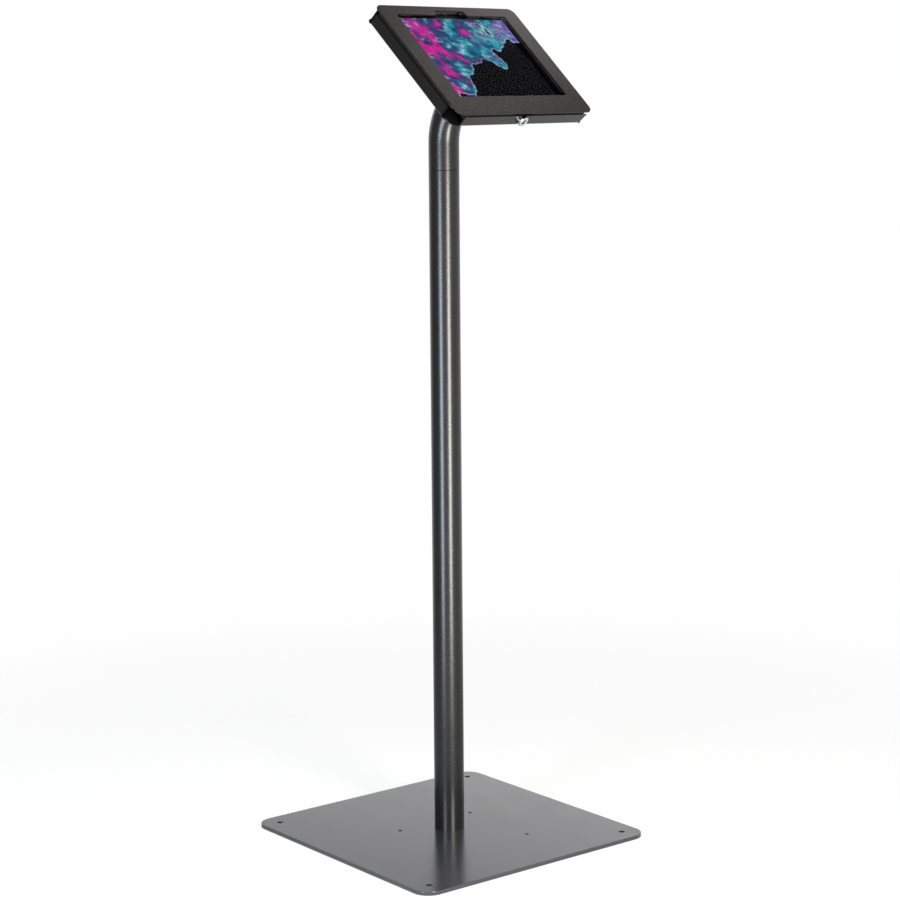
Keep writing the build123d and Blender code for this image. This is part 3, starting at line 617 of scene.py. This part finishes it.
def block_on_head(name, across_reach, up_reach, out_reach, ease):
    """Box between reaches along the head's three directions, with its edges eased."""
    mesh = bmesh.new()
    for across_at in across_reach:
        for up_at in up_reach:
            for out_at in out_reach:
                mesh.verts.new(head_point(across_at, up_at, out_at))
    bmesh.ops.convex_hull(mesh, input=mesh.verts[:])
    bmesh.ops.dissolve_limit(mesh, angle_limit=flat_angle, verts=mesh.verts, edges=mesh.edges)
    bmesh.ops.bevel(mesh, geom=mesh.edges, offset=ease, segments=2, affect="EDGES")
    data = bpy.data.meshes.new(name)
    mesh.to_mesh(data)
    mesh.free()
    return data


notch_middle = sum(span("cover_plate", across)) / 2
cover_top = span("cover_plate", up_slope)[1]
seal_top = cover_top - seal_below_edge
seal_mesh = block_on_head(
    "notch_seal",
    (notch_middle - seal_length / 2, notch_middle + seal_length / 2),
    (seal_top - seal_height, seal_top),
    span("cover_foam_strips", outward),
    seal_soft_edge,
)
notch_seal = new_piece("notch_seal", seal_mesh, "cover", "foam")
print("faces of the seal:", len(notch_seal.data.polygons))

# %% [markdown]
# ## The weld between neck and flange
#
# A weld is laid down puddle by puddle, so it is a ring whose thickness swells and shrinks. The
# bead is swept round the swivel's axis in a loop: each step round is one small circle of
# points, a little larger where a puddle crests, and neighbouring circles are joined by faces.

# %% The weld bead
weld_leg = 0.0045
crest_share = 0.12
bead_sides = 12
puddle_count = 44
steps_in_puddle = 6


def ring_bead(name, centre, axis, ring_radius, bead_radius, puddles):
    """Ring of circles of points, whose size swells and shrinks once in each puddle."""
    side = axis.orthogonal().normalized()
    other = axis.cross(side)
    mesh = bmesh.new()
    circles = []
    steps = puddles * steps_in_puddle
    for step in range(steps):
        round_angle = tau * step / steps
        out = side * cos(round_angle) + other * sin(round_angle)
        swell = 1 + crest_share * abs(sin(round_angle * puddles / 2))
        circle = []
        for corner in range(bead_sides):
            angle = tau * corner / bead_sides
            offset = (out * cos(angle) + axis * sin(angle)) * bead_radius * swell
            circle.append(mesh.verts.new(centre + out * ring_radius + offset))
        circles.append(circle)
    for first, second in zip(circles, circles[1:] + circles[:1]):
        for corner in range(bead_sides):
            after = (corner + 1) % bead_sides
            face = mesh.faces.new((first[corner], first[after], second[after], second[corner]))
            face.smooth = True
    bmesh.ops.recalc_face_normals(mesh, faces=mesh.faces)
    data = bpy.data.meshes.new(name)
    mesh.to_mesh(data)
    mesh.free()
    return data


swivel_place = Vector(joints["head_swivel"]["pos_m"])
weld_depth = span("neck_flange", outward)[0] - swivel_place.dot(outward) + weld_leg * 0.45
tube_low, tube_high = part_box("post_tube")
tube_radius = (tube_high.x - tube_low.x) / 2
bead_mesh = ring_bead(
    "neck_weld_bead",
    swivel_place + outward * weld_depth,
    outward,
    tube_radius + weld_leg * 0.35,
    weld_leg * 0.5,
    puddle_count,
)
weld_bead = new_piece("neck_weld_bead", bead_mesh, "neck", "powder_coat_post")
print("weld bead points:", len(weld_bead.data.vertices))

# %% [markdown]
# ## Where the camera stands
#
# The room is laid out as seen from the camera, which stands to the stand's left. Two level
# directions hold that: from the post towards the camera, and to the picture's right.

# %% Directions of the picture
camera_turn = radians(38.5645)
toward_camera = Vector((-sin(camera_turn), -cos(camera_turn), 0))
to_right = Vector((cos(camera_turn), -sin(camera_turn), 0))
print("towards the camera:", [round(part, 3) for part in toward_camera])

# %% [markdown]
# ## The room's light
#
# A product photograph is taken in a white room. The world is pure white where the camera or
# clear glass sees it, and gives a plain, dimmer light to the paint. Mirror rays meet two more
# things. A dark curtain stands behind the stand's left, so the tray's left wall is nearly
# black. The sweep behind the stand is brightest a little above the floor and dims higher up
# and to the left, so the base shines more towards its far corner.

# %% World
curtain = Vector((-0.88, 0.47, 0.0))
curtain_starts = 0.5
curtain_full = 0.95
curtain_light = 0.28
plain_light = 0.5
sweep_light = 3.0
sweep_lean = 0.2
sweep_shares = ((0.2, 0.4), (0.26, 1), (0.33, 0.03), (0.5, 0.2))


def build_world():
    world = bpy.data.worlds.new("white_room")
    bpy.context.scene.world = world
    world.use_nodes = True
    graph = Graph(world.node_tree)
    path = graph.node("ShaderNodeLightPath", output=None)
    camera_ray = Value(graph, path.outputs["Is Camera Ray"])
    glass_ray = Value(graph, path.outputs["Is Transmission Ray"])
    mirror_ray = Value(graph, path.outputs["Is Glossy Ray"])
    seen = camera_ray.math("MAXIMUM", camera_ray, glass_ray)
    way = graph.node("ShaderNodeTexCoord", output="Generated")
    settings = {"interpolation_type": "SMOOTHSTEP"}
    sockets = {0: graph.dot(way, curtain), 1: curtain_starts, 2: curtain_full, 3: 1.0, 4: curtain_light}
    mirrored = graph.node("ShaderNodeMapRange", settings, sockets)
    height = graph.dot(way, Vector((0, 0, 1)) - to_right * sweep_lean)
    stops = [(at, (share, share, share, 1)) for at, share in sweep_shares]
    sweep = graph.node("ShaderNodeValToRGB", {"stops": stops}, {"Fac": height}, output="Color")
    plain = plain_light + mirror_ray * (mirrored * (sweep_light * sweep) - plain_light)
    strength = plain + seen * (1 - plain)
    background = graph.node("ShaderNodeBackground", {}, {"Color": (1, 1, 1, 1), "Strength": strength})
    graph.node("ShaderNodeOutputWorld", {}, {"Surface": background}, output=None)
    return world


print("room:", build_world().name)

# %% [markdown]
# ## The floor
#
# The floor is a large sheet of matt white paper that keeps the stand's soft shadow. The
# camera sees it a little brighter than the paint does, and far out it fades into the room.

# %% Floor
floor_half = 3.5
fade_starts = floor_half * 0.15
fade_ends = floor_half * 0.55
fibre_width = 0.02
glow_light = 1.25
glow_share = 0.6


def floor_paper(name):
    """White paper: what falls on it shows as shadow. Far out it fades into the white room."""
    finish = Finish(name)
    seen = finish.node("ShaderNodeLightPath", output="Is Camera Ray")
    fibre = finish.noise(fibre_width)
    white = finish.mix(fibre, colour(200, 200, 200), colour(206, 206, 206))
    paper = finish.node("ShaderNodeBsdfDiffuse", {}, {"Color": white})
    glow = finish.node("ShaderNodeEmission", {}, {"Color": (1, 1, 1, 1), "Strength": glow_light})
    sheet = finish.node("ShaderNodeMixShader", {}, {0: seen * glow_share, 1: paper, 2: glow})
    settings = {"operation": "LENGTH"}
    reach = finish.node("ShaderNodeVectorMath", settings, {0: finish.place}, output="Value")
    clear = finish.node("ShaderNodeBsdfTransparent")
    fade = finish.ease(reach, fade_starts, fade_ends)
    return finish.end_with(finish.node("ShaderNodeMixShader", {}, {0: fade, 1: sheet, 2: clear}))


def build_floor():
    sheet = bmesh.new()
    bmesh.ops.create_grid(sheet, x_segments=8, y_segments=8, size=floor_half)
    mesh = bpy.data.meshes.new("floor_paper")
    sheet.to_mesh(mesh)
    sheet.free()
    floor = bpy.data.objects.new("floor_paper", mesh)
    bpy.context.scene.collection.objects.link(floor)
    mesh.materials.append(floor_paper("floor_paper"))
    return floor


floor = build_floor()
print("floor is", floor.dimensions.x, "m wide")

# %% [markdown]
# ## Lamps
#
# Two tall strip lights stand beside the camera, one slightly cool and one slightly warm.
# Each shows as a bright line down the post. A wide soft box overhead lights the whole stand,
# and a small one beyond the enclosure lays a soft glow on the cover's upper right.

# %% Soft boxes
strip_distance = 1.7
strip_height = 0.5
strip_size = (0.46, 1.1)
strip_aim = (0, 0, 0.5)
cool_light = (0.78, 0.86, 1.0)
warm_light = (1.0, 0.96, 0.88)
faintly_warm_light = (1.0, 0.96, 0.92)


def soft_box(name, place, aim, size, power, tint):
    """Lamp with a white rectangle for a face, turned towards a place."""
    lamp = bpy.data.lights.new(name, "AREA")
    lamp.shape = "RECTANGLE"
    lamp.size, lamp.size_y = size
    lamp.energy = power
    lamp.color = tint
    holder = bpy.data.objects.new(name, lamp)
    bpy.context.scene.collection.objects.link(holder)
    holder.location = place
    holder.rotation_euler = (Vector(aim) - Vector(place)).to_track_quat("-Z", "Y").to_euler()


def beside_camera(degrees):
    """Place on a circle round the post, turned from the camera's side by an angle."""
    angle = radians(degrees)
    way = toward_camera * cos(angle) + to_right * sin(angle)
    return way * strip_distance + Vector((0, 0, strip_height))


soft_box("cool_strip", beside_camera(-33), strip_aim, strip_size, power=40, tint=cool_light)
soft_box("warm_strip", beside_camera(28), strip_aim, strip_size, power=62, tint=warm_light)
soft_box(
    "overhead_box",
    place=(-0.6, -0.5, 3.2),
    aim=(0, 0, 1.0),
    size=(2.2, 2.2),
    power=12,
    tint=(1, 1, 1),
)
soft_box(
    "cover_box",
    place=(0.765, 0.283, 1.753),
    aim=(0, 0, 1.3),
    size=(0.3, 0.3),
    power=1.15,
    tint=faintly_warm_light,
)

# %% [markdown]
# ## Camera
#
# A long lens from nearly four metres away, turned to the stand's left and a little above the
# enclosure, looking slightly down.

# %% Camera
lens_length = 93.08
film_width = 36
camera_distance = 3.65737
camera_aside = 0.00577
camera_height = 1.20359
camera_dip = 8.911
camera_roll = -0.4696

camera_data = bpy.data.cameras.new("camera")
camera_data.sensor_width = film_width
camera_data.lens = lens_length
camera = bpy.data.objects.new("camera", camera_data)
bpy.context.scene.collection.objects.link(camera)
level_place = toward_camera * camera_distance + to_right * camera_aside
camera.location = level_place + Vector((0, 0, camera_height))
turn = Matrix.Rotation(-camera_turn, 3, "Z")
lean = Matrix.Rotation(radians(90 - camera_dip), 3, "X")
roll = Matrix.Rotation(radians(camera_roll), 3, "Z")
camera.rotation_euler = (turn @ lean @ roll).to_euler()
bpy.context.scene.camera = camera
bpy.context.scene.view_settings.view_transform = "Standard"
print("camera at:", [round(part, 2) for part in camera.location])

# %% [markdown]
